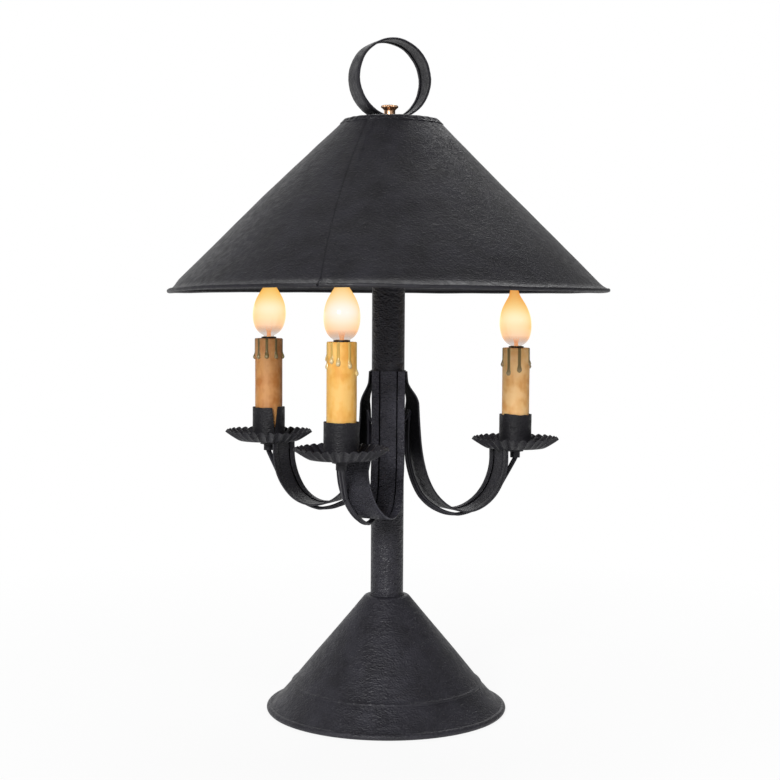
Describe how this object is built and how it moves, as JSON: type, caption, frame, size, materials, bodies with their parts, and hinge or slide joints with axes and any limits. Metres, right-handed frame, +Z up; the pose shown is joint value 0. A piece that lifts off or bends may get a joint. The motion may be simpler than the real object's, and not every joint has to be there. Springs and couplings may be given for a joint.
{
  "type": "bouillotte lamp",
  "caption": "Table lamp of painted sheet metal: cone base, tube post, strap arms with crimped drip pans and candle lights, and a cone shade under a carrying ring.",
  "frame": {"origin": "on the table under the middle of the base", "axes": "+Z up along the post; -Y towards the side the lamp is seen from; +X to that viewer's right"},
  "size_m": [0.424, 0.4239, 0.6482],
  "materials": {
    "japanned_tin": "satin, wrinkle-grained",
    "painted_cord": "painted over, satin",
    "zinc_steel": "zinc plated",
    "cast_iron": "as cast",
    "felt": "matte",
    "black_bushing": "matte",
    "black_phenolic": "semi-matte",
    "thread_brass": "drawn",
    "aged_brass": "turned, tarnished",
    "wax_sleeve": "waxed card, satin",
    "amber_glass": "amber silicone dipped",
    "bulb_cap": "rolled thread",
    "glowing_filament": "glowing"
  },
  "bodies": {
    "lamp": {"base_cone": "japanned_tin", "base_rim_wire": "zinc_steel", "base_plate": "japanned_tin", "base_weight": "cast_iron", "felt_pad": "felt", "cord_bushing": "black_bushing", "post_tube": "japanned_tin", "post_cap": "japanned_tin", "centre_rod": "zinc_steel", "rod_nuts": "zinc_steel", "rod_washers": "zinc_steel", "arm_front": "japanned_tin", "arm_right": "japanned_tin", "arm_left": "japanned_tin", "drip_pan_front": "japanned_tin", "drip_pan_right": "japanned_tin", "drip_pan_left": "japanned_tin", "candle_cup_front": "japanned_tin", "candle_cup_right": "japanned_tin", "candle_cup_left": "japanned_tin", "nipples": "japanned_tin", "nipple_locknuts": "japanned_tin", "socket_leg_front": "zinc_steel", "socket_leg_right": "zinc_steel", "socket_leg_left": "zinc_steel", "socket_body_front": "black_phenolic", "socket_body_right": "black_phenolic", "socket_body_left": "black_phenolic", "screw_shell_front": "thread_brass", "screw_shell_right": "thread_brass", "screw_shell_left": "thread_brass", "lead_front": "painted_cord", "lead_right": "painted_cord", "lead_left": "painted_cord"},
    "washer": {"knob_washer": "aged_brass"},
    "shade": {"shade_cone": "japanned_tin", "shade_rim_wire": "zinc_steel", "shade_cap": "japanned_tin"},
    "ring": {"ring_hoop": "japanned_tin"},
    "knob": {"finial_knob": "aged_brass"},
    "sleeve_front": {"candle_sleeve_front": "wax_sleeve"},
    "bulb_front": {"bulb_glass_front": "amber_glass", "bulb_base_front": "bulb_cap", "filament_front": "glowing_filament"},
    "sleeve_right": {"candle_sleeve_right": "wax_sleeve"},
    "bulb_right": {"bulb_glass_right": "amber_glass", "bulb_base_right": "bulb_cap", "filament_right": "glowing_filament"},
    "sleeve_left": {"candle_sleeve_left": "wax_sleeve"},
    "bulb_left": {"bulb_glass_left": "amber_glass", "bulb_base_left": "bulb_cap", "filament_left": "glowing_filament"}
  },
  "joints": [
    {"name": "shade_lift", "type": "slide", "parent": "lamp", "child": "washer", "axis": [0, 0, 1], "range_m": [0, 0.19]},
    {"name": "shade_swivel", "type": "hinge", "parent": "washer", "child": "shade", "pos_m": [0, 0, 0.5714], "axis": [0, 0, 1], "continuous": true},
    {"name": "ring_swivel", "type": "hinge", "parent": "washer", "child": "ring", "pos_m": [0, 0, 0.5726], "axis": [0, 0, 1], "continuous": true},
    {"name": "knob_turn", "type": "hinge", "parent": "washer", "child": "knob", "pos_m": [0, 0, 0.58], "axis": [0, 0, 1], "continuous": true},
    {"name": "sleeve_turn_front", "type": "hinge", "parent": "lamp", "child": "sleeve_front", "pos_m": [-0.04099, -0.12467, 0.3075], "axis": [0, 0, 1], "continuous": true},
    {"name": "bulb_unscrew_front", "type": "hinge", "parent": "lamp", "child": "bulb_front", "pos_m": [-0.04099, -0.12467, 0.3575], "axis": [0, 0, 1], "range_deg": [0, 1440]},
    {"name": "sleeve_turn_right", "type": "hinge", "parent": "lamp", "child": "sleeve_right", "pos_m": [0.12658, 0.03451, 0.3039], "axis": [0, 0, 1], "continuous": true},
    {"name": "bulb_unscrew_right", "type": "hinge", "parent": "lamp", "child": "bulb_right", "pos_m": [0.12658, 0.03451, 0.3539], "axis": [0, 0, 1], "range_deg": [0, 1440]},
    {"name": "sleeve_turn_left", "type": "hinge", "parent": "lamp", "child": "sleeve_left", "pos_m": [-0.11857, 0.03812, 0.3094], "axis": [0, 0, 1], "continuous": true},
    {"name": "bulb_unscrew_left", "type": "hinge", "parent": "lamp", "child": "bulb_left", "pos_m": [-0.11857, 0.03812, 0.3594], "axis": [0, 0, 1], "range_deg": [0, 1440]}
  ]
}
